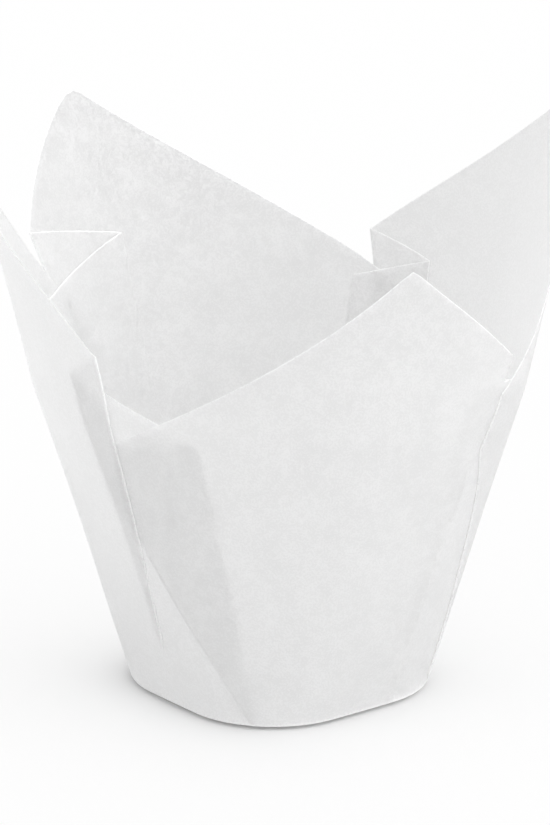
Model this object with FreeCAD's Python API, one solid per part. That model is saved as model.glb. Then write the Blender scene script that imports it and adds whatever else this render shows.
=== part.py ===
"""Tulip cupcake liner: one square sheet of thin baking paper, pressed into a cup.

The sheet's four corners stand up as petals. Between two petals the spare paper is folded
into an inverted box pleat: the petal's edge turns back (outer fold), runs behind the petal,
turns again (back fold), crosses the corner as an inner wall, turns a third time (corner fold)
and meets the next petal at its tucked fold. Lengths are in mm and angles in degrees.
Origin: middle of the flat base. +Z is up and the front petal faces -Y.
"""
import FreeCAD, Part
import math
import os

# Paper
paper = 0.25
layer_air = 0.30

# Height of the tallest petal's tip; the other heights are shares of it
cup_height = 96.5

# Flat base: a square with large round corners
base_side = 44.6
base_corner = 16.0

# Wall: it turns round by round_height and then leans out less
round_height = 0.544 * cup_height
round_radius = 40.4
upper_lean = 12.0

# Petals lean out further from this height up, over this much to each side
flare_start = 0.6 * cup_height
flare_spread = 60.0

# Facets of the folded sheet
long_facets = 8
short_facets = 8
inner_facets = 6
hidden_facets = 4
turn_facets = 3
rim_passes = 12


class Petal:
    """One corner of the sheet: where its tip stands and how far the tip leans out.

    The bulges lift the middle of the long and the short edge above a straight line.
    """

    def __init__(self, facing, tip_turn, tip_share, flare, long_bulge, short_bulge):
        self.facing = facing
        self.tip = facing + tip_turn
        self.tip_height = tip_share * cup_height
        self.flare = flare
        self.long_bulge = long_bulge
        self.short_bulge = short_bulge


class Pleat:
    """One box pleat between two petals.

    foot and edge are the outer fold's angles short of the base corner, at the base and at the
    rim; bow bends the fold between them, and hidden is the width folded back behind it.
    The shares of the cup's height say where the pleat closes and where its folds end.
    """

    def __init__(self, corner, foot, edge, bow, hidden, close_share, high_share, low_share,
                 corner_share):
        self.corner = corner
        self.foot = corner - foot
        self.edge = corner - edge
        self.bow = bow
        self.hidden = hidden
        self.close_height = close_share * cup_height
        self.high_rim = high_share * cup_height
        self.low_rim = low_share * cup_height
        self.corner_rim = corner_share * cup_height


petals = [
    Petal(facing=0.0, tip_turn=-12.0, tip_share=0.84, flare=0.0, long_bulge=0.9,
          short_bulge=0.0),
    Petal(facing=90.0, tip_turn=-17.0, tip_share=1.0, flare=2.0, long_bulge=1.0,
          short_bulge=1.5),
    Petal(facing=180.0, tip_turn=6.5, tip_share=0.974, flare=1.5, long_bulge=1.6,
          short_bulge=3.0),
    Petal(facing=270.0, tip_turn=-28.0, tip_share=0.99, flare=5.0, long_bulge=2.8,
          short_bulge=1.0),
]
pleats = [
    Pleat(corner=45.0, foot=31.0, edge=22.2, bow=-3.5, hidden=12.0, close_share=0.477,
          high_share=0.643, low_share=0.578, corner_share=0.594),
    Pleat(corner=135.0, foot=33.0, edge=14.5, bow=0.0, hidden=14.5, close_share=0.415,
          high_share=0.708, low_share=0.648, corner_share=0.625),
    Pleat(corner=225.0, foot=49.0, edge=14.0, bow=0.0, hidden=28.0, close_share=0.415,
          high_share=0.76, low_share=0.668, corner_share=0.634),
    Pleat(corner=315.0, foot=42.0, edge=35.0, bow=3.0, hidden=9.0, close_share=0.342,
          high_share=0.674, low_share=0.518, corner_share=0.541),
]

# Shared by the four pleats: two angles, then lengths
corner_foot = 2.5
corner_lean = 8.5
back_drop = 4.2
fold_start = 0.4
seam_gap = 0.35

# Lean of the cone that the wall is unrolled from to lay the sheet's edges
unrolled_lean = 16.0

layer_step = paper + layer_air
turn_radius = layer_step / 2.0

# Wall surface

def base_radius(angle):
    """Distance from the axis to the base outline, a square with round corners."""
    quarter = abs((angle + 45.0) % 90.0 - 45.0)
    turn = math.radians(quarter)
    half = base_side / 2.0
    centre = half - base_corner
    if quarter < math.degrees(math.atan2(centre, half)):
        return half / math.cos(turn)
    along = centre * (math.cos(turn) + math.sin(turn))
    return along + math.sqrt(along * along - 2.0 * centre * centre + base_corner * base_corner)


def petal_flare(angle, height):
    """How much further a petal leans out near its tip than the plain wall."""
    total = 0.0
    for petal in petals:
        away = abs((angle - petal.facing + 180.0) % 360.0 - 180.0)
        rise = (height - flare_start) / (petal.tip_height - flare_start)
        if away < flare_spread and rise > 0.0:
            window = math.cos(math.radians(90.0 * away / flare_spread)) ** 2
            total += petal.flare * window * rise * rise
    return total


def wall_radius(angle, height):
    """Distance from the axis to the outermost layer's middle."""
    share = min(height / round_height, 1.0)
    above = max(height - round_height, 0.0)
    radius = (1.0 - share) * base_radius(angle) + share * round_radius
    return radius + above * math.tan(math.radians(upper_lean)) + petal_flare(angle, height)


def along_wall(angle, height, length):
    """Angle that a length along the wall spans at this height."""
    return math.degrees(length / wall_radius(angle, height))


# Fold lines: each gives an angle for a height

def outer_fold(pleat, height):
    """Where the petal's edge turns back: a straight line that bow bends."""
    share = height / pleat.high_rim
    straight = pleat.foot + (pleat.edge - pleat.foot) * share
    return straight + 4.0 * pleat.bow * share * (1.0 - share)


def back_fold(pleat, height):
    """Hidden behind the petal, further from its edge the higher it is."""
    share = height / (pleat.high_rim - back_drop)
    line = outer_fold(pleat, height)
    return line - pleat.hidden * share - along_wall(line, height, fold_start)


def tucked_fold(pleat, height):
    """Where the next petal starts: across the corner, then close beside the outer fold."""
    close = pleat.close_height
    start = pleat.corner - corner_foot
    level = max(height, close)
    line = outer_fold(pleat, level)
    shut = line + along_wall(line, level, 2.0 * turn_radius + paper + seam_gap)
    if height >= close:
        return shut
    return start + (shut - start) * height / close


def corner_fold(pleat, height):
    """Hidden behind the next petal, from the base corner up."""
    share = height / pleat.corner_rim
    line = pleat.corner - corner_foot - corner_lean * share
    return line + along_wall(line, height, fold_start)


# Rim: the sheet's straight edges, laid round the wall

def flat_point(turn, height):
    """A wall point on the sheet laid flat, as a cone of the wall's lean unrolls."""
    lean = math.radians(unrolled_lean)
    reach = base_side / 2.0 / math.sin(lean) + height / math.cos(lean)
    fan = math.radians(turn) * math.sin(lean)
    return reach * math.sin(fan), reach * math.cos(fan)


def edge_height(turn, low, high, bulge):
    """Height of a sheet edge at an angle, between two of its wall points."""
    x0, y0 = flat_point(*low)
    x1, y1 = flat_point(*high)
    lean = math.radians(unrolled_lean)
    fan = math.radians(turn) * math.sin(lean)
    run, rise = x1 - x0, y1 - y0
    reach = (x0 * rise - y0 * run) / (math.sin(fan) * rise - math.cos(fan) * run)
    share = (turn - low[0]) / (high[0] - low[0])
    straight = (reach - base_side / 2.0 / math.sin(lean)) * math.cos(lean)
    return straight + 4.0 * bulge * share * (1.0 - share)


class Station:
    """One upright line of the sheet, with the places of its outer and inner faces."""

    def __init__(self, angle_at, rim, close, outer, inner):
        self.angle_at = angle_at
        self.rim = rim
        self.close = close
        self.outer = outer
        self.inner = inner

    def heights(self, floor):
        """Row heights to the rim, with rows where the pleat closes and the wall turns round."""
        knee = round_height if self.rim > round_height else (self.close + self.rim) / 2.0
        return [floor, (floor + self.close) / 2.0, self.close, knee, (knee + self.rim) / 2.0,
                self.rim]

    def column(self, side, floor):
        shift, depth = side
        points = []
        for height in self.heights(floor):
            angle = self.angle_at(height)
            radius = wall_radius(angle, height)
            turn = math.radians(angle + math.degrees(shift / radius))
            reach = radius + depth
            points.append(FreeCAD.Vector(reach * math.sin(turn), -reach * math.cos(turn), height))
        return points


def layer(level, forward):
    """Outer and inner face of a flat layer; a layer that runs back shows them swapped."""
    half = paper / 2.0 if forward else -paper / 2.0
    return (0.0, level + half), (0.0, level - half)


def turn_stations(angle_at, rim, close, level, ahead, inward, outside):
    """A fold's half round. outside says that the sheet's outer face is on its large side."""
    stations = []
    sign = 1.0 if inward else -1.0
    way = 1.0 if ahead else -1.0
    large = turn_radius + paper / 2.0
    small = turn_radius - paper / 2.0
    radii = (large, small) if outside else (small, large)
    for step in range(turn_facets + 1):
        turn = math.pi * step / turn_facets
        sides = [(way * radius * math.sin(turn), level + sign * radius * math.cos(turn))
                 for radius in radii]
        stations.append(Station(angle_at, rim, close, sides[0], sides[1]))
    return stations


def between(first, second, share):
    """A line at a share of the way from one fold line to the next."""
    return lambda height: first(height) + (second(height) - first(height)) * share


def petal_stations(petal, before, after):
    """The petal's upright lines from its tucked fold to its outer fold, ends left out."""
    start = lambda height: tucked_fold(before, height) + petal_wrap(petal, before)
    end = lambda height: outer_fold(after, height)
    tip_height = petal.tip_height
    tip_share = (petal.tip - start(tip_height)) / (end(tip_height) - start(tip_height))
    shares = [tip_share * step / long_facets for step in range(1, long_facets + 1)]
    shares += [tip_share + (1.0 - tip_share) * step / short_facets
               for step in range(1, short_facets)]
    tip = (petal.tip - petal.facing, tip_height)
    left = (start(before.low_rim) - petal.facing, before.low_rim)
    right = (end(after.high_rim) - petal.facing, after.high_rim)
    stations = []
    for share in shares:
        line = between(start, end, share)
        corner = left if share <= tip_share else right
        bulge = petal.long_bulge if share <= tip_share else petal.short_bulge
        rim = tip_height
        for _ in range(rim_passes):
            rim = edge_height(line(rim) - petal.facing, corner, tip, bulge)
        close = before.close_height + (after.close_height - before.close_height) * share
        stations.append(Station(line, rim, close, *layer(0.0, True)))
    return stations


def petal_wrap(petal, before):
    """Brings the pleat before the front petal to angles below that petal."""
    return -360.0 if before.corner > petal.facing else 0.0


def layer_stations(first, second, first_rim, second_rim, close, facets, sides):
    """Upright lines of a layer between two folds, ends left out, with a straight rim."""
    stations = []
    for step in range(1, facets):
        share = step / facets
        rim = first_rim + (second_rim - first_rim) * share
        stations.append(Station(between(first, second, share), rim, close, *sides))
    return stations


def pleat_stations(pleat):
    """The pleat's four folds and the layers between them, from the sheet's outer fold on."""
    outer = lambda height: outer_fold(pleat, height)
    back = lambda height: back_fold(pleat, height)
    corner = lambda height: corner_fold(pleat, height)
    tucked = lambda height: tucked_fold(pleat, height)
    close = pleat.close_height
    back_rim = pleat.high_rim - back_drop
    corner_rim = pleat.corner_rim
    half = layer_step / 2.0
    middle = layer(-layer_step, False)
    inmost = layer(-2.0 * layer_step, True)
    stations = turn_stations(outer, pleat.high_rim, close, -half, True, True, True)
    stations += layer_stations(outer, back, pleat.high_rim, back_rim, close, hidden_facets, middle)
    stations += turn_stations(back, back_rim, close, -3.0 * half, False, True, False)
    stations += layer_stations(back, corner, back_rim, corner_rim, close, inner_facets, inmost)
    stations += turn_stations(corner, corner_rim, close, -3.0 * half, True, False, False)
    stations += layer_stations(corner, tucked, corner_rim, pleat.low_rim, close, hidden_facets,
                               middle)
    stations += turn_stations(tucked, pleat.low_rim, close, -half, False, False, True)
    return stations


# Solid

def triangle(a, b, c):
    return Part.Face(Part.makePolygon([a, b, c, a]))


def quad(a, b, c, d):
    return [triangle(a, b, c), triangle(a, c, d)]


def sheet_solid():
    """Closes the outer faces, inner faces, rim, underside and floor into one solid."""
    ring = []
    for index, petal in enumerate(petals):
        ring += petal_stations(petal, pleats[index - 1], pleats[index])
        ring += pleat_stations(pleats[index])
    outer = [station.column(station.outer, 0.0) for station in ring]
    inner = [station.column(station.inner, paper) for station in ring]
    faces = []
    for here in range(len(ring)):
        after = (here + 1) % len(ring)
        for row in range(len(outer[here]) - 1):
            faces += quad(outer[here][row], outer[after][row],
                          outer[after][row + 1], outer[here][row + 1])
            faces += quad(inner[here][row], inner[here][row + 1],
                          inner[after][row + 1], inner[after][row])
        faces += quad(outer[here][-1], outer[after][-1], inner[after][-1], inner[here][-1])
    for side in (outer, inner):
        outline = [column[0] for column in side]
        faces.append(Part.Face(Part.makePolygon(outline + outline[:1])))
    shell = Part.makeShell(faces)
    shell.sewShape()
    solid = Part.makeSolid(shell)
    if solid.Volume < 0.0:
        solid.reverse()
    return solid


liner = sheet_solid()
os.makedirs("parts", exist_ok=True)
liner.exportStep("parts/folded_sheet.step")
box = liner.BoundBox
print("faces", len(liner.Faces), "solids", len(liner.Solids), "valid", liner.isValid())
print("volume %.1f mm3" % liner.Volume, "box %.1f %.1f %.1f" % (box.XLength, box.YLength, box.ZLength))
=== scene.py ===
"""Looks of the tulip cupcake liner: one folded sheet of baking paper on a white table.

The sheet is worked out as a surface with two parameters. The first runs once round the cup,
through four petals and the four box pleats between them, and the second runs from the middle
of the base up to the rim. The same values as in the part's source place its folds. Lengths
are in mm and angles in degrees until the mesh is made, which is in metres. Angles are measured
from the front petal, -Y, towards +X.
"""

import logging
from dataclasses import dataclass, field
from enum import Enum
from typing import Any, Callable, Optional, Union

import bpy
import numpy as np
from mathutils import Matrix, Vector

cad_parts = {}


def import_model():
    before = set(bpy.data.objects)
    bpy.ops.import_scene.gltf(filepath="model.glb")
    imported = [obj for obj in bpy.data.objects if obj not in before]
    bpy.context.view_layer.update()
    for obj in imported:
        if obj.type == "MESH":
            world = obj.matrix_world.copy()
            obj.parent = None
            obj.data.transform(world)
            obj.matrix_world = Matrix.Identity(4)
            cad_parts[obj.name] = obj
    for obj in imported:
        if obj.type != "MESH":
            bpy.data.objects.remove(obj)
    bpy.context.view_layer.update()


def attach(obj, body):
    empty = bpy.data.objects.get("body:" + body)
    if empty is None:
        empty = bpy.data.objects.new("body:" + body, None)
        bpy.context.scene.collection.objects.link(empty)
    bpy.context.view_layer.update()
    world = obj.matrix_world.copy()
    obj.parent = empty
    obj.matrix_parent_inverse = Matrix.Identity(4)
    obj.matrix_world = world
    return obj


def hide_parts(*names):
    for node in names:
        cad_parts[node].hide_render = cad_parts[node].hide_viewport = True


Array = np.ndarray
Line = Callable[[Array], Array]
Rgba = tuple[float, float, float, float]

log = logging.getLogger("cupcake_liner")
MM = 0.001
CUP_HEIGHT = 96.5
# Point attribute on creases, the base's edge and the rim: the paper is painted lighter there, a
# painted highlight, and lets less light through.
CREASE_AND_HIGHLIGHT = "crease_and_highlight"


def smooth(share: Array) -> Array:
    """Rises from 0 to 1 with level ends: three times the square less twice the cube.

    Args:
        share: how far along the rise each value is, cut off at 0 and 1.

    Returns:
        The smoothed share.
    """
    cut = np.clip(share, 0.0, 1.0)
    return cut * cut * (3.0 - 2.0 * cut)


def mixed(first: Array, second: Array, share: Array) -> Array:
    """Returns the values a share of the way from the first to the second."""
    return first + (second - first) * share


class Face(Enum):
    """The two faces of the sheet, with the side of its middle on which each lies."""

    OUTER = 1.0
    INNER = -1.0


@dataclass(frozen=True)
class Paper:
    """The sheet: its thickness as drawn, and the step from a layer's middle to the next."""

    thick: float = 0.18
    step: float = 0.21

    @property
    def turn(self) -> float:
        """Radius of a fold's half round."""
        return self.step / 2.0


@dataclass(frozen=True)
class BaseOutline:
    """The flat base: a square with large round corners."""

    side: float = 44.6
    corner: float = 16.0

    def radius(self, angle: Array) -> Array:
        """Distance from the axis to the outline.

        On a straight side it is half the side over the cosine of the angle from the side's
        middle. Round a corner it is the far root of the corner's circle.

        Args:
            angle: directions in degrees.

        Returns:
            The distances in mm.
        """
        quarter = np.abs((angle + 45.0) % 90.0 - 45.0)
        turn = np.radians(quarter)
        half = self.side / 2.0
        centre = half - self.corner
        along = centre * (np.cos(turn) + np.sin(turn))
        arc = along + np.sqrt(along * along - 2.0 * centre * centre + self.corner ** 2)
        straight = quarter < np.degrees(np.arctan2(centre, half))
        return np.where(straight, half / np.cos(turn), arc)


@dataclass(frozen=True)
class Petal:
    """One corner of the sheet, standing up.

    tip_turn is the tip's angle from the way the petal faces, and tip_share its height as a
    share of the cup's. The bulges lift the middle of the petal's long and short edge above a
    straight line, and tip_round softens its tip.
    """

    facing: float
    tip_turn: float
    tip_share: float
    flare: float
    long_bulge: float
    short_bulge: float
    tip_round: float = 0.35

    @property
    def tip(self) -> float:
        """Angle of the tip."""
        return self.facing + self.tip_turn

    @property
    def tip_height(self) -> float:
        """Height of the tip."""
        return self.tip_share * CUP_HEIGHT


@dataclass(frozen=True)
class Pleat:
    """One box pleat between two petals.

    foot and edge are the outer fold's angles short of the base corner, at the base and at
    the rim, and bow bends the fold between them. hidden is the width folded back behind it.
    The shares of the cup's height say where the pleat closes and where its outer, tucked and
    corner folds end. The folds part at start_height. Up to the closing height the next
    petal's edge runs across the corner, bent by seam_bow. Above it that edge lies behind the
    outer fold, by the first tuck in degrees there and by the second at the rim.
    """

    corner: float
    foot: float
    edge: float
    bow: float
    hidden: float
    close_share: float
    high_share: float
    low_share: float
    corner_share: float
    start_height: float = 0.0
    tuck: tuple[float, float] = (1.6, 1.6)
    seam_bow: float = 0.0

    @property
    def close_height(self) -> float:
        """Height where the next petal's edge meets the outer fold."""
        return self.close_share * CUP_HEIGHT

    @property
    def high_rim(self) -> float:
        """Rim height at the outer fold."""
        return self.high_share * CUP_HEIGHT

    @property
    def low_rim(self) -> float:
        """Rim height at the tucked fold."""
        return self.low_share * CUP_HEIGHT

    @property
    def corner_rim(self) -> float:
        """Rim height at the corner fold."""
        return self.corner_share * CUP_HEIGHT


PETALS = (
    Petal(0.0, -12.0, 0.84, 0.0, 1.1, 0.2),
    Petal(90.0, -17.0, 1.0, 2.0, 1.2, 1.7),
    Petal(180.0, 7.0, 0.98, 1.5, 2.2, 3.0, tip_round=1.2),
    Petal(270.0, -28.0, 0.99, 5.0, 2.8, 1.2),
)
PLEATS = (
    Pleat(45.0, 31.0, 22.2, -3.5, 12.0, 0.477, 0.643, 0.578, 0.594, tuck=(-1.8, -1.8),
          seam_bow=-3.0),
    Pleat(135.0, 33.0, 14.5, 0.0, 14.5, 0.415, 0.708, 0.619, 0.625, tuck=(5.6, 5.6)),
    Pleat(225.0, 49.0, 14.0, 0.0, 28.0, 0.415, 0.76, 0.627, 0.634, tuck=(3.0, 3.0)),
    Pleat(315.0, 42.0, 35.0, 3.0, 9.0, 0.342, 0.674, 0.516, 0.541, start_height=10.7,
          tuck=(3.0, 0.8), seam_bow=1.5),
)


@dataclass(frozen=True)
class Wall:
    """The cup's wall, on which every layer of the sheet lies."""

    outline: BaseOutline = BaseOutline()
    petals: tuple[Petal, ...] = PETALS
    round_height: float = 0.544 * CUP_HEIGHT
    round_radius: float = 40.4
    upper_lean: float = 12.0
    flare_start: float = 0.6 * CUP_HEIGHT
    flare_spread: float = 60.0
    slack: float = 0.16
    slack_rise: float = 25.0

    def flare(self, angle: Array, height: Array) -> Array:
        """How much further each petal leans out near its tip.

        The petal's flare is times the squared cosine of the angle from its middle, and times
        the squared share of the way up from flare_start to its tip.

        Args:
            angle: directions in degrees.
            height: heights in mm.

        Returns:
            The extra distances in mm.
        """
        total = np.zeros(np.broadcast(angle, height).shape)
        for petal in self.petals:
            away = np.abs((angle - petal.facing + 180.0) % 360.0 - 180.0)
            window = np.cos(np.radians(90.0 * np.minimum(away / self.flare_spread, 1.0))) ** 2
            rise = (height - self.flare_start) / (petal.tip_height - self.flare_start)
            total += petal.flare * window * np.maximum(rise, 0.0) ** 2
        return total

    def waver(self, angle: Array, height: Array) -> Array:
        """The slight unevenness of paper that was pressed and let go.

        Three long sines of the angle and the height are added up, and fade in over the lowest
        slack_rise of the wall.

        Args:
            angle: directions in degrees.
            height: heights in mm.

        Returns:
            The offsets in mm.
        """
        turn = np.radians(angle)
        wave = np.sin(5.0 * turn + height / 15.0 + 0.6)
        wave = wave + 0.7 * np.sin(9.0 * turn - height / 9.0 + 2.1)
        wave = wave + 0.5 * np.sin(14.0 * turn + height / 21.0 + 4.0)
        return self.slack * wave * smooth(height / self.slack_rise)

    def radius(self, angle: Array, height: Array) -> Array:
        """Distance from the axis to the outermost layer's middle.

        It goes from the base outline to a circle by round_height, leans out above that, and
        adds the petals' flare and the unevenness.

        Args:
            angle: directions in degrees.
            height: heights in mm.

        Returns:
            The distances in mm.
        """
        share = np.minimum(height / self.round_height, 1.0)
        above = np.maximum(height - self.round_height, 0.0)
        plain = mixed(self.outline.radius(angle), self.round_radius, share)
        leaning = above * np.tan(np.radians(self.upper_lean))
        return plain + leaning + self.flare(angle, height) + self.waver(angle, height)

    def span(self, angle: Array, height: Array, length: Union[float, Array]) -> Array:
        """Returns the angle that a length along the wall spans at a height."""
        return np.degrees(length / self.radius(angle, height))


@dataclass(frozen=True)
class Folds:
    """The lines of one pleat's folds on the wall: each gives angles for heights."""

    pleat: Pleat
    wall: Wall
    corner_foot: float = 2.5
    corner_lean: float = 9.3
    corner_bow: float = 0.6
    back_drop: float = 4.2
    fold_start: float = 0.3
    part_over: float = 2.5
    dive_margin: float = 1.6
    dive_ease: float = 0.5
    dive_layers: float = 2.0

    @property
    def back_rim(self) -> float:
        """Rim height at the back fold."""
        return self.pleat.high_rim - self.back_drop

    def outer(self, height: Array) -> Array:
        """Outer fold: a straight line from foot to edge, bent by a parabola bow high."""
        pleat = self.pleat
        share = height / pleat.high_rim
        straight = pleat.corner - mixed(pleat.foot, pleat.edge, share)
        return straight + 4.0 * pleat.bow * share * (1.0 - share)

    def back(self, height: Array) -> Array:
        """Back fold: it leaves the outer fold evenly from start_height up."""
        start = self.pleat.start_height
        share = np.maximum(height - start, 0.0) / (self.back_rim - start)
        line = self.outer(height)
        return line - self.pleat.hidden * share - self.wall.span(line, height, self.fold_start)

    def tucked(self, height: Array) -> Array:
        """Tucked fold: across the corner to the outer fold, then beside or behind it.

        Below, it is a straight line from the base corner to the outer fold at close_height,
        bent by a parabola. Above, it is the outer fold less the tuck, which changes evenly
        up to the rim, and the larger of the two angles holds.

        Args:
            height: heights in mm.

        Returns:
            The angles in degrees.
        """
        pleat = self.pleat
        start = pleat.corner - self.corner_foot
        share = height / pleat.close_height
        shut = self.outer(np.asarray(pleat.close_height)) + max(-pleat.tuck[0], 0.0)
        bent = 4.0 * pleat.seam_bow * np.maximum(share * (1.0 - share), 0.0)
        across = mixed(start, shut, share) - bent
        above = (height - pleat.close_height) / (pleat.low_rim - pleat.close_height)
        tuck = mixed(pleat.tuck[0], pleat.tuck[1], np.clip(above, 0.0, 1.0))
        return np.maximum(across, self.outer(height) - tuck)

    def corner(self, height: Array) -> Array:
        """Corner fold: it leans back from the base corner, bent by a parabola."""
        share = height / self.pleat.corner_rim
        line = self.pleat.corner - self.corner_foot - self.corner_lean * share
        line = line - 4.0 * self.corner_bow * share * (1.0 - share)
        return line + self.wall.span(line, height, self.fold_start)

    def parted(self, height: Array) -> Array:
        """How far the outer and back folds have parted: 0 below start_height, 1 above."""
        return smooth((height - self.pleat.start_height) / self.part_over)

    def opened(self, height: Array) -> Array:
        """How far the corner and tucked folds have parted: 0 at the base, 1 above."""
        return smooth(height / self.part_over)

    def dive(self, angle: Array, height: Array) -> Array:
        """How far the layers give way inwards where one petal's edge lies under the next.

        It is dive_layers between the tucked and the outer fold, and falls off smoothly to 0
        at the back fold on one side and the corner fold on the other, over dive_ease degrees
        at least. It is 0 where the pleat is still open.

        Args:
            angle: directions in degrees.
            height: heights in mm.

        Returns:
            Depths in steps from layer to layer.
        """
        outer, tucked = self.outer(height), self.tucked(height)
        back, corner = self.back(height), self.corner(height)
        margin = self.wall.span(outer, height, self.dive_margin)
        shut = smooth((outer + margin - tucked) / margin)
        ahead = smooth((corner - angle) / np.maximum(corner - outer, self.dive_ease))
        behind = smooth((angle - back) / np.maximum(tucked - back, self.dive_ease))
        return self.dive_layers * shut * ahead * behind


@dataclass(frozen=True)
class Strip:
    """A run of upright lines of the sheet.

    rim holds their rim heights. place gives the angles and depths of a face's points for
    their heights, as arrays of lines by rows. The last field is 1 on a fold's ridge and 0 off it;
    the paper is painted lighter with it, a painted highlight, and lets less light through there.
    """

    rim: Array
    place: Callable[[Array, Face], tuple[Array, Array]]
    # Ridge mask: it paints a highlight along the fold.
    crease_and_highlight: Union[float, Array] = 0.0


@dataclass
class FoldedSheet:
    """The whole liner: strips round the cup, rows up it, and the mesh made from both."""

    paper: Paper = Paper()
    wall: Wall = Wall()
    pleats: tuple[Pleat, ...] = PLEATS
    unrolled_lean: float = 16.0
    bend: float = 0.5
    lift: float = 0.55
    lift_share: float = 0.18
    rim_band: float = 0.2
    rim_thin: float = 0.15
    # Mask value along the rim: the cut edge lets less light through, and is painted lighter, a
    # painted highlight.
    rim_wear_and_highlight: float = 2.0
    panel_lines: int = 52
    mid_lines: int = 12
    inner_lines: int = 26
    turn_lines: int = 5
    start_step: float = 0.035
    base_rows: int = 5
    lift_rows: int = 5
    bend_rows: int = 5
    wall_rows: int = 68
    row_power: float = 1.3
    rim_passes: int = 14
    sharp_over: float = 55.0
    folds: list[Folds] = field(init=False)

    def __post_init__(self) -> None:
        """Sets up the fold lines of every pleat."""
        self.folds = [Folds(pleat, self.wall) for pleat in self.pleats]

    # The sheet's straight edges, laid round the wall

    def flat_reach(self, height: Union[float, Array]) -> Union[float, Array]:
        """Returns the distance from the apex of the cone that the wall unrolls from."""
        lean = np.radians(self.unrolled_lean)
        return self.wall.outline.side / 2.0 / np.sin(lean) + height / np.cos(lean)

    def edge_height(self, turn: Array, low: tuple[float, float], high: tuple[float, float],
                    bulge: float) -> Array:
        """Height of a sheet edge that is straight on the sheet laid flat.

        Both ends are put on the unrolled cone, and the ray at each angle is cut with the line
        between them. The bulge is added as a parabola.

        Args:
            turn: angles from the way the petal faces.
            low: angle and height of the edge's lower end.
            high: angle and height of the petal's tip.
            bulge: rise of the middle above the straight line.

        Returns:
            The rim heights in mm.
        """
        lean = np.radians(self.unrolled_lean)
        fans = [np.radians(end[0]) * np.sin(lean) for end in (low, high)]
        reaches = [self.flat_reach(end[1]) for end in (low, high)]
        x0, x1 = (reach * np.sin(fan) for reach, fan in zip(reaches, fans))
        y0, y1 = (reach * np.cos(fan) for reach, fan in zip(reaches, fans))
        fan = np.radians(turn) * np.sin(lean)
        across, along = x1 - x0, y1 - y0
        cut = (x0 * along - y0 * across) / (np.sin(fan) * along - np.cos(fan) * across)
        share = np.clip((turn - low[0]) / (high[0] - low[0]), 0.0, 1.0)
        straight = (cut - self.flat_reach(0.0)) * np.cos(lean)
        return straight + 4.0 * bulge * share * (1.0 - share)

    # Strips

    def layer(self, level: Array, face: Face) -> Array:
        """Returns the depth of a face of a layer that runs forwards, from its level in steps."""
        return -level * self.paper.step + face.value * self.paper.thick / 2.0

    def petal_strip(self, petal: Petal, before: Folds, after: Folds) -> Strip:
        """The petal between its tucked fold and its outer fold, both left out.

        Each line goes up at a fixed share of the way between the two folds. Its rim is where
        it meets the lower of the petal's two edges, found by going back and forth between
        the line's angle and the edge's height, and a soft minimum rounds the tip.

        Args:
            petal: the petal.
            before: folds of the pleat at its start.
            after: folds of the pleat at its end.

        Returns:
            The strip.
        """
        wrap = 360.0 if before.pleat.corner > petal.facing else 0.0
        tip_height = np.asarray(petal.tip_height)
        ends = before.tucked(tip_height) - wrap, after.outer(tip_height)
        tip_share = float((petal.tip - ends[0]) / (ends[1] - ends[0]))
        share = np.linspace(0.0, 1.0, self.panel_lines + 2)[1:-1]
        nearest = int(np.argmin(np.abs(share - tip_share)))
        share[nearest] = tip_share

        def angle_at(height: Array) -> Array:
            """Angles of the petal's lines."""
            shares = share.reshape((-1,) + (1,) * (height.ndim - 1))
            return mixed(before.tucked(height) - wrap, after.outer(height), shares)

        tip = (petal.tip - petal.facing, petal.tip_height)
        low, high = before.pleat.low_rim, after.pleat.high_rim
        left = (float(before.tucked(np.asarray(low))) - wrap - petal.facing, low)
        right = (float(after.outer(np.asarray(high))) - petal.facing, high)
        rim = np.full(share.shape, petal.tip_height)
        for _ in range(self.rim_passes):
            turn = angle_at(rim) - petal.facing
            edges = (self.edge_height(turn, left, tip, petal.long_bulge),
                     self.edge_height(turn, right, tip, petal.short_bulge))
            gap = np.abs(edges[0] - edges[1]) / petal.tip_round
            rim = np.minimum(*edges) - petal.tip_round * np.log1p(np.exp(-gap))

        def place(height: Array, face: Face) -> tuple[Array, Array]:
            """Angles and depths of the petal's points."""
            angle = angle_at(height)
            return angle, self.layer(before.dive(angle + wrap, height), face)

        return Strip(rim, place)

    def turn_strip(self, fold: Line, rim: float, level: float, ahead: bool, inward: bool,
                   start: Callable[[Array, Array], Array], parted: Line,
                   dive: Callable[[Array, Array], Array]) -> Strip:
        """A fold's half round, which eases into the plain wall where the fold starts.

        The points go round a half circle of the fold's radius, from one layer's level to the
        next. Where the fold starts they are mixed with points in a row on the wall.

        Args:
            fold: the fold's line.
            rim: its rim height.
            level: level of the half circle's middle, in steps.
            ahead: whether it bulges towards larger angles.
            inward: whether it goes from the outer layer to the inner one.
            start: the row's angles, for the heights and the number of each line.
            parted: how far the fold has formed.
            dive: how far the layers give way.

        Returns:
            The strip.
        """
        number = np.arange(self.turn_lines)[:, None]
        turn = np.pi * number / (self.turn_lines - 1)
        outside = 1.0 if ahead == inward else -1.0
        way = 1.0 if ahead else -1.0
        sign = 1.0 if inward else -1.0

        def place(height: Array, face: Face) -> tuple[Array, Array]:
            """Angles and depths of the half round's points."""
            half = self.paper.thick / 2.0
            radius = self.paper.turn + outside * face.value * half
            line = fold(height)
            folded = line + way * self.wall.span(line, height, radius * np.sin(turn))
            share = parted(height)
            deep = -(level + dive(line, height)) * self.paper.step
            deep = deep + sign * radius * np.cos(turn)
            flat = face.value * half
            return mixed(start(height, number), folded, share), mixed(flat, deep, share)

        # The ridge mask, highest on the fold's crest, paints a highlight there.
        return Strip(np.full(self.turn_lines, rim), place, np.sin(turn[:, 0]))

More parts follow.
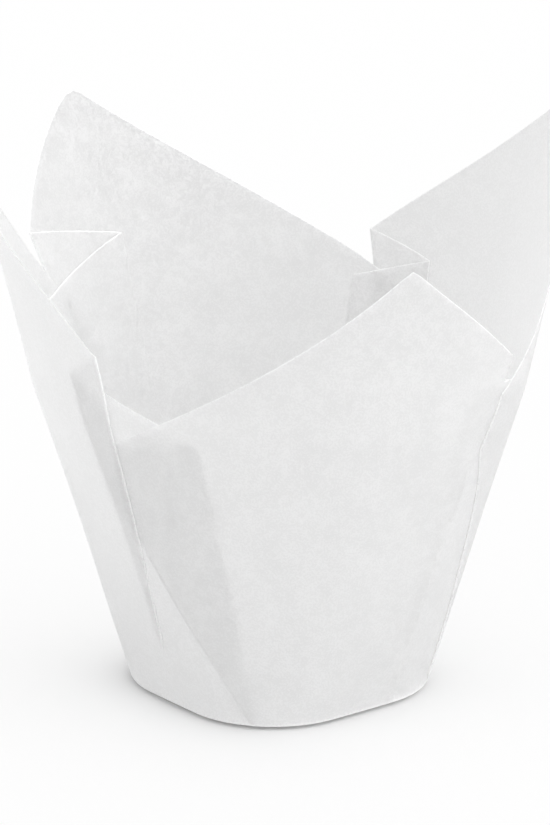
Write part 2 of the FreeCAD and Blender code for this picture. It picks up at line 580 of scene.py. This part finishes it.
    def mid_strip(self, first: Line, second: Line, rims: tuple[float, float],
                  start: Callable[[Array, Array], Array], parted: Line,
                  dive: Callable[[Array, Array], Array]) -> Strip:
        """The middle layer of a pleat, which runs back between two folds.

        Args:
            first: line of the fold that it leaves.
            second: line of the fold that it reaches.
            rims: rim heights at both.
            start: angles of its points where the folds start.
            parted: how far the folds have formed.
            dive: how far the layers give way.

        Returns:
            The strip.
        """
        number = np.arange(1, self.mid_lines + 1)[:, None]
        share = number / (self.mid_lines + 1.0)

        def place(height: Array, face: Face) -> tuple[Array, Array]:
            """Angles and depths of the middle layer's points."""
            angle = mixed(first(height), second(height), share)
            flat = face.value * self.paper.thick / 2.0
            deep = -(1.0 + dive(angle, height)) * self.paper.step - flat
            formed = parted(height)
            return mixed(start(height, number), angle, formed), mixed(flat, deep, formed)

        return Strip(mixed(rims[0], rims[1], share[:, 0]), place)

    def pleat_strips(self, folds: Folds) -> list[Strip]:
        """The pleat's four folds and the three layers between them, in the sheet's order.

        Args:
            folds: the pleat's fold lines.

        Returns:
            Seven strips from the outer fold to the tucked fold.
        """
        pleat, step = folds.pleat, self.start_step
        last = 2 * self.turn_lines + self.mid_lines - 1

        def on_from(first: int) -> Callable[[Array, Array], Array]:
            """A row of points on from the outer fold, as the sheet lies below the pleat."""
            return lambda height, number: folds.outer(height) + self.wall.span(
                folds.outer(height), height, step * (number + first))

        def up_to(first: int) -> Callable[[Array, Array], Array]:
            """A row of points that ends at the tucked fold."""
            return lambda height, number: folds.tucked(height) - self.wall.span(
                folds.tucked(height), height, step * (last - first - number))

        def still(angle: Array, height: Array) -> Array:
            """No giving way."""
            return np.zeros_like(height)

        def begin(height: Array) -> Array:
            """Angles where the inner wall leaves the back fold."""
            return mixed(on_from(0)(height, np.asarray(last)), folds.back(height),
                         folds.parted(height))

        def end(height: Array) -> Array:
            """Angles where the inner wall reaches the corner fold."""
            return mixed(up_to(0)(height, np.asarray(0)), folds.corner(height),
                         folds.opened(height))

        share = (np.arange(1, self.inner_lines + 1) / (self.inner_lines + 1.0))[:, None]

        def inner_place(height: Array, face: Face) -> tuple[Array, Array]:
            """Angles and depths of the inner wall's points."""
            angle = mixed(begin(height), end(height), share)
            level = 2.0 * mixed(folds.parted(height), folds.opened(height), share)
            return angle, self.layer(level + folds.dive(angle, height), face)

        turns, mids = self.turn_lines, self.mid_lines
        high, low = (pleat.high_rim, folds.back_rim), (pleat.corner_rim, pleat.low_rim)
        inner_rim = mixed(folds.back_rim, pleat.corner_rim, share[:, 0])
        return [
            self.turn_strip(folds.outer, high[0], 0.5, True, True, on_from(0), folds.parted, still),
            self.mid_strip(folds.outer, folds.back, high, on_from(turns - 1), folds.parted, still),
            self.turn_strip(folds.back, high[1], 1.5, False, True, on_from(turns + mids),
                            folds.parted, still),
            Strip(inner_rim, inner_place),
            self.turn_strip(folds.corner, low[0], 1.5, True, False, up_to(0), folds.opened, still),
            self.mid_strip(folds.corner, folds.tucked, low, up_to(turns - 1), folds.opened,
                           folds.dive),
            self.turn_strip(folds.tucked, low[1], 0.5, False, False, up_to(turns + mids),
                            folds.opened, folds.dive),
        ]

    def strips(self) -> list[Strip]:
        """Returns every strip once round the cup, from the front petal on."""
        found = []
        for index, petal in enumerate(self.wall.petals):
            found.append(self.petal_strip(petal, self.folds[index - 1], self.folds[index]))
            found.extend(self.pleat_strips(self.folds[index]))
        return found

    # Rows and mesh

    def rows(self, rim: Array) -> tuple[Array, Array, Array]:
        """Heights and insets of the rows of every line, from the base's middle to the rim.

        The base is flat and rises by lift over its outermost lift_share, a smooth step, so
        that it stands clear of the table at its edge. Its inset grows inwards as a share of
        the radius. In the bend the height and the inset are squares of the way through it,
        so that the corner is soft. On the wall the rows lie closer together near the base,
        and the last two are rim_band apart.

        Args:
            rim: rim heights of the lines.

        Returns:
            Heights, fixed insets in mm, and insets as a share of what is left of the radius.
        """
        base = np.concatenate([np.linspace(1.0, self.lift_share, self.base_rows + 1)[1:],
                               np.linspace(self.lift_share, 0.0, self.lift_rows + 1)[1:-1]])
        rise = self.lift * smooth(1.0 - base / self.lift_share)
        way = np.linspace(-self.bend, self.bend, self.bend_rows)
        bent = self.lift + (self.bend + way) ** 2 / (4.0 * self.bend)
        up = np.linspace(0.0, 1.0, self.wall_rows + 1)[1:] ** self.row_power
        ones = np.ones((len(rim), 1))
        high = bent[-1] + (rim[:, None] - self.rim_band - bent[-1]) * up
        height = np.hstack([ones * rise, ones * bent, high, rim[:, None]])
        fixed = np.concatenate([np.full(len(base), self.bend),
                                (self.bend - way) ** 2 / (4.0 * self.bend),
                                np.zeros(len(up) + 1)])
        share = np.concatenate([base, np.zeros(len(way) + len(up) + 1)])
        return height, ones * fixed, ones * share

    def surface(self, strips: list[Strip], face: Face) -> Array:
        """One face of the sheet as a grid of points.

        The inner face starts one thickness up. A point's radius is the wall's, plus its
        depth, less its inset.

        Args:
            strips: the strips once round the cup.
            face: which face.

        Returns:
            An array of lines by rows by three, in mm.
        """
        floor = self.paper.thick if face is Face.INNER else 0.0
        grids = []
        for strip in strips:
            height, fixed, share = self.rows(strip.rim)
            height = floor + height * (1.0 - floor / strip.rim[:, None])
            angle, depth = strip.place(height, face)
            radius = self.wall.radius(angle, height) + depth - fixed
            radius = radius * (1.0 - share)
            turn = np.radians(angle)
            grids.append(np.stack([radius * np.sin(turn), -radius * np.cos(turn), height], -1))
        return np.concatenate(grids)

    def mesh(self, name: str) -> bpy.types.Mesh:
        """Closes both faces, the rim and the two ends at the base's middle into one solid.

        At the rim both faces draw in to rim_thin of the thickness, as a cut edge is crushed.
        An attribute of its points marks creases and the cut edge: 1 on the ridges of the folds and
        round the base's edge, the rim's value along the rim, 0 elsewhere. The paper is painted
        lighter where it is set, a painted highlight, and lets less light through.

        Args:
            name: the mesh's name.

        Returns:
            The mesh, in metres.
        """
        strips = self.strips()
        outer = self.surface(strips, Face.OUTER)
        inner = self.surface(strips, Face.INNER)
        cut = (outer[:, -1] + inner[:, -1]) / 2.0
        for grid in (outer, inner):
            grid[:, -1] = mixed(cut, grid[:, -1], self.rim_thin)
        lines, rows = outer.shape[:2]
        middle = np.array([[0.0, 0.0, 0.0], [0.0, 0.0, self.paper.thick]])
        points = np.vstack([outer.reshape(-1, 3), inner.reshape(-1, 3), middle]) * MM
        here = np.arange(lines)[:, None] * rows
        after = np.roll(here, -1, axis=0)
        row = np.arange(rows - 1)[None, :]
        skin = np.stack([here + row, after + row, after + row + 1, here + row + 1], -1)
        skin = skin.reshape(-1, 4)
        under = lines * rows
        top = np.hstack([here, after, after + under, here + under]) + rows - 1
        quads = np.vstack([skin, skin[:, ::-1] + under, top])
        fan = np.full_like(here, 2 * under)
        fans = np.vstack([np.hstack([fan, after, here]), np.hstack([fan + 1, here + under,
                                                                    after + under])])
        mesh = bpy.data.meshes.new(name)
        mesh.from_pydata(points.tolist(), [], quads.tolist() + fans.tolist())
        curved = np.ones(len(quads) + len(fans), dtype=bool)
        curved[2 * len(skin):len(quads)] = False
        mesh.polygons.foreach_set("use_smooth", curved)
        # The mask paints highlights: the material paints the paper lighter on ridges, the base's
        # edge and the rim.
        ridge = np.concatenate([strip.crease_and_highlight + np.zeros(len(strip.rim)) for strip in strips])
        foot = np.arange(rows) - self.base_rows
        pressed = (foot >= 0) & (foot < self.lift_rows + self.bend_rows - 1)
        wear_and_highlight = np.where(pressed, 1.0, ridge[:, None])
        # Painted highlight along the rim, as well as its wear.
        wear_and_highlight[:, -1] = self.rim_wear_and_highlight
        spots = mesh.attributes.new(CREASE_AND_HIGHLIGHT, "FLOAT", "POINT")
        spots.data.foreach_set("value", np.concatenate([wear_and_highlight.ravel(), wear_and_highlight.ravel(), [0.0, 0.0]]))
        mesh.set_sharp_from_angle(angle=np.radians(self.sharp_over))
        mesh.update()
        return mesh

    def build(self, finish: "BakingPaper") -> bpy.types.Object:
        """Makes the sheet's object, dresses it and puts it in place of the CAD sheet.

        Args:
            finish: the paper's finish.

        Returns:
            The object.
        """
        sheet = bpy.data.objects.new("liner_sheet", self.mesh("liner_sheet"))
        bpy.context.scene.collection.objects.link(sheet)
        sheet.data.materials.append(finish.material())
        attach(sheet, "root")
        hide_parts("folded_sheet")
        return sheet


# Materials

Operand = Union["Value", float]
Given = Union["Value", bpy.types.NodeSocket, float, tuple]


class Graph:
    """The node tree of a material or the world."""

    def __init__(self, tree: bpy.types.NodeTree) -> None:
        """Starts from an empty tree."""
        self.tree = tree
        tree.nodes.clear()

    def node(self, kind: str, settings: Optional[dict[str, Any]] = None,
             sockets: Optional[dict[Union[int, str], Given]] = None) -> bpy.types.Node:
        """Adds a node.

        Args:
            kind: the node's type.
            settings: what is set on the node itself, before its sockets.
            sockets: a value, a link or a Value for each socket, by name or number.

        Returns:
            The node.
        """
        made = self.tree.nodes.new(kind)
        for name, setting in (settings or {}).items():
            setattr(made, name, setting)
        for key, given in (sockets or {}).items():
            if isinstance(given, Value):
                self.tree.links.new(given.socket, made.inputs[key])
            elif isinstance(given, bpy.types.NodeSocket):
                self.tree.links.new(given, made.inputs[key])
            else:
                made.inputs[key].default_value = given
        return made

    def value(self, node: bpy.types.Node, output: Union[int, str] = 0) -> "Value":
        """Returns a node's output as a number to reckon with."""
        return Value(self, node.outputs[output])


class Value:
    """A number in a material, whose operators add Math nodes."""

    def __init__(self, graph: Graph, socket: bpy.types.NodeSocket) -> None:
        """Wraps a socket."""
        self.graph = graph
        self.socket = socket

    def maths(self, operation: str, first: Operand, second: Operand = 0.0) -> "Value":
        """Adds one Math node.

        Args:
            operation: the node's operation.
            first: its first number.
            second: its second number.

        Returns:
            What it works out.
        """
        node = self.graph.node("ShaderNodeMath", {"operation": operation}, {0: first, 1: second})
        return self.graph.value(node)

    def __add__(self, other: Operand) -> "Value":
        """Sum."""
        return self.maths("ADD", self, other)

    def __radd__(self, other: Operand) -> "Value":
        """Sum, from the right."""
        return self.maths("ADD", other, self)

    def __sub__(self, other: Operand) -> "Value":
        """Difference."""
        return self.maths("SUBTRACT", self, other)

    def __rsub__(self, other: Operand) -> "Value":
        """Difference, from the right."""
        return self.maths("SUBTRACT", other, self)

    def __mul__(self, other: Operand) -> "Value":
        """Product."""
        return self.maths("MULTIPLY", self, other)

    def __rmul__(self, other: Operand) -> "Value":
        """Product, from the right."""
        return self.maths("MULTIPLY", other, self)

    def __truediv__(self, other: Operand) -> "Value":
        """Quotient."""
        return self.maths("DIVIDE", self, other)

    def __rtruediv__(self, other: Operand) -> "Value":
        """Quotient, from the right."""
        return self.maths("DIVIDE", other, self)

    def __pow__(self, other: Operand) -> "Value":
        """Power."""
        return self.maths("POWER", self, other)

    def __rpow__(self, other: Operand) -> "Value":
        """Power, from the right."""
        return self.maths("POWER", other, self)

    def __abs__(self) -> "Value":
        """Size without its sign."""
        return self.maths("ABSOLUTE", self)

    def at_least(self, other: Operand) -> "Value":
        """Returns the larger of both."""
        return self.maths("MAXIMUM", self, other)

    def at_most(self, other: Operand) -> "Value":
        """Returns the smaller of both."""
        return self.maths("MINIMUM", self, other)


@dataclass(frozen=True)
class BakingPaper:
    """Thin white baking paper: matt, and light shines through it."""

    name: str = "baking_paper"
    thin: Rgba = (0.99, 0.99, 0.99, 1.0)
    dense: Rgba = (0.865, 0.865, 0.865, 1.0)
    through: Rgba = (0.98, 0.98, 0.98, 1.0)
    see_through: float = 0.65
    # How much the crease and rim mask cuts the light let through; the same mask paints them
    # lighter, a painted highlight.
    wear_and_highlight: float = 0.9
    roughness: float = 0.68
    gloss: float = 0.25
    clouds: tuple[tuple[float, float], ...] = ((5.0, 1.5), (1.0, 3.3), (0.33, 8.0))
    cloud_dim: float = 0.08
    tooth: float = 0.015
    bump: float = 0.5
    detail: float = 2.0
    raggedness: float = 0.55

    def material(self) -> bpy.types.Material:
        """Builds the finish.

        Clouds of three sizes are noise patterns on Object coordinates, and their weighted
        sum shifts the colour, the share of light let through and the bump a little. Creases, the
        base's edge and the cut rim are painted lighter, a painted highlight, and let less light
        through.

        Returns:
            The material.
        """
        material = bpy.data.materials.new(self.name)
        material.use_nodes = True
        graph = Graph(material.node_tree)
        place = graph.node("ShaderNodeTexCoord").outputs["Object"]
        tone = sum((self.noise(graph, place, size) - 0.5) * weight for size, weight in self.clouds)
        # Crease and rim mask: it paints a highlight on folds, the base's edge and the rim.
        crease_and_highlight = graph.value(graph.node("ShaderNodeAttribute", {"attribute_name": CREASE_AND_HIGHLIGHT}), "Fac")
        crease_and_highlight = crease_and_highlight.at_most(1.0)
        # Painted highlight: the mask pushes the colour towards the lightest white.
        colour = graph.node("ShaderNodeMix", {"data_type": "RGBA"}, {
            0: tone + crease_and_highlight + 0.5, 6: self.dense, 7: self.thin}).outputs[2]
        bump = graph.node("ShaderNodeBump", None, {
            "Strength": self.bump, "Distance": self.tooth * MM, "Height": tone})
        matt = graph.node("ShaderNodeBsdfPrincipled", None, {
            "Base Color": colour, "Roughness": self.roughness, "Specular IOR Level": self.gloss,
            "Normal": bump.outputs[0]})
        glow = graph.node("ShaderNodeBsdfTranslucent", None, {"Color": self.through})
        both = graph.node("ShaderNodeMixShader", None, {
            0: (self.see_through - tone * self.cloud_dim) * (1.0 - crease_and_highlight * self.wear_and_highlight),
            1: matt.outputs[0], 2: glow.outputs[0]})
        graph.node("ShaderNodeOutputMaterial", None, {"Surface": both.outputs[0]})
        return material

    def noise(self, graph: Graph, place: bpy.types.NodeSocket, size: float) -> Value:
        """Adds a noise pattern.

        Args:
            graph: the material's nodes.
            place: coordinates.
            size: width of its largest spots, in mm.

        Returns:
            The pattern, about 0.5.
        """
        node = graph.node("ShaderNodeTexNoise", None, {
            "Vector": place, "Scale": 1.0 / (size * MM), "Detail": self.detail,
            "Roughness": self.raggedness})
        return graph.value(node, 0)


@dataclass(frozen=True)
class Lamp:
    """One large soft lamp: where it hangs, its width in metres and its power in watts."""

    name: str
    place: tuple[float, float, float]
    width: float
    power: float

    def build(self, target: Vector) -> None:
        """Hangs the lamp and turns it to the target."""
        light = bpy.data.lights.new(self.name, "AREA")
        light.shape = "DISK"
        light.size = self.width
        light.energy = self.power
        lamp = bpy.data.objects.new(self.name, light)
        lamp.location = self.place
        lamp.rotation_euler = (target - lamp.location).to_track_quat("-Z", "Y").to_euler()
        bpy.context.scene.collection.objects.link(lamp)


@dataclass
class Studio:
    """White table, white surround, soft lamps and the camera."""

    camera_place: tuple[float, float, float] = (-0.346958, -0.441672, 0.210191)
    camera_way: tuple[float, float, float] = (0.59208, 0.75579, -0.27969)
    focal_pixels: float = 3533.0
    picture_height: int = 825
    film_height: float = 36.0
    table_size: float = 6.0
    table_white: Rgba = (0.76, 0.76, 0.76, 1.0)
    shade_start: float = 22.3
    shade_reach: float = 3.0
    surround: float = 0.43
    bounces: int = 32
    lamps: tuple[Lamp, ...] = (
        Lamp("lamp_right", (0.554, -0.148, 0.819), 1.6, 4.6),
        Lamp("lamp_front", (0.296, -0.814, 0.5), 1.2, 4.6),
        Lamp("lamp_camera", (-0.183, -0.683, 0.707), 1.6, 2.6),
        Lamp("lamp_left", (-0.853, 0.15, 0.5), 1.2, 3.4),
    )

    def build(self) -> None:
        """Builds the camera, table, surround and lamps."""
        self.camera()
        self.table()
        self.world()
        for lamp in self.lamps:
            lamp.build(Vector((0.0, 0.0, 0.045)))
        scene = bpy.context.scene
        scene.cycles.max_bounces = self.bounces
        scene.cycles.diffuse_bounces = self.bounces
        scene.cycles.transmission_bounces = self.bounces
        scene.view_settings.view_transform = "Standard"

    def camera(self) -> None:
        """Puts the camera where the photograph was taken from.

        The lens is the focal length in pixels times the film's height over the picture's.
        """
        data = bpy.data.cameras.new("camera")
        data.sensor_fit = "VERTICAL"
        data.sensor_height = self.film_height
        data.lens = self.focal_pixels * self.film_height / self.picture_height
        camera = bpy.data.objects.new("camera", data)
        camera.location = self.camera_place
        camera.rotation_euler = Vector(self.camera_way).to_track_quat("-Z", "Y").to_euler()
        bpy.context.scene.collection.objects.link(camera)
        bpy.context.scene.camera = camera

    def seen(self, graph: Graph) -> Value:
        """Adds a test that is 1 for what the camera, a reflection or glass sees.

        Light that paper lets through is scattered, so its rays are left out as diffuse ones.

        Args:
            graph: the nodes that it is added to.

        Returns:
            The test, 1 or 0.
        """
        path = graph.node("ShaderNodeLightPath")
        camera, glossy, through, scattered = (graph.value(path, name) for name in (
            "Is Camera Ray", "Is Glossy Ray", "Is Transmission Ray", "Is Diffuse Ray"))
        return camera.at_least(glossy).at_least(through * (1.0 - scattered))

    def table(self) -> None:
        """Makes the white table top, which keeps the shadow round the base.

        For the camera it is mixed with plain white light. The share left to the lamps is
        shade_reach over itself plus the distance from the base, and that distance is the cube
        root of the summed cubes of x and y, less shade_start.
        """
        half = self.table_size / 2.0
        corners = [(-half, -half, 0.0), (half, -half, 0.0), (half, half, 0.0), (-half, half, 0.0)]
        mesh = bpy.data.meshes.new("table")
        mesh.from_pydata(corners, [], [(0, 1, 2, 3)])
        material = bpy.data.materials.new("table_white")
        material.use_nodes = True
        graph = Graph(material.node_tree)
        place = graph.node("ShaderNodeTexCoord").outputs["Object"]
        split = graph.node("ShaderNodeSeparateXYZ", None, {0: place})
        x, y = abs(graph.value(split, 0)), abs(graph.value(split, 1))
        away = (x ** 3.0 + y ** 3.0) ** (1.0 / 3.0) - self.shade_start * MM
        reach = self.shade_reach * MM
        lit = reach / (away.at_least(0.0) + reach)
        top = graph.node("ShaderNodeBsdfDiffuse", None, {"Color": self.table_white})
        light = graph.node("ShaderNodeEmission", None, {"Color": (1.0, 1.0, 1.0, 1.0)})
        both = graph.node("ShaderNodeMixShader", None, {
            0: self.seen(graph) * (1.0 - lit), 1: top.outputs[0], 2: light.outputs[0]})
        graph.node("ShaderNodeOutputMaterial", None, {"Surface": both.outputs[0]})
        mesh.materials.append(material)
        table = bpy.data.objects.new("table", mesh)
        bpy.context.scene.collection.objects.link(table)

    def world(self) -> None:
        """Makes the surround: pure white to the eye, and softer as a light."""
        world = bpy.data.worlds.new("surround")
        world.use_nodes = True
        bpy.context.scene.world = world
        graph = Graph(world.node_tree)
        strength = self.seen(graph) * (1.0 - self.surround) + self.surround
        light = graph.node("ShaderNodeBackground", None, {
            "Color": (1.0, 1.0, 1.0, 1.0), "Strength": strength})
        graph.node("ShaderNodeOutputWorld", None, {"Surface": light.outputs[0]})


def main() -> None:
    """Loads the frame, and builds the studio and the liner."""
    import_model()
    Studio().build()
    log.info("studio built")
    sheet = FoldedSheet().build(BakingPaper())
    log.info("%s: %d faces", sheet.name, len(sheet.data.polygons))
    bpy.context.view_layer.update()


if __name__ == "__main__":
    logging.basicConfig(level=logging.INFO)
    main()
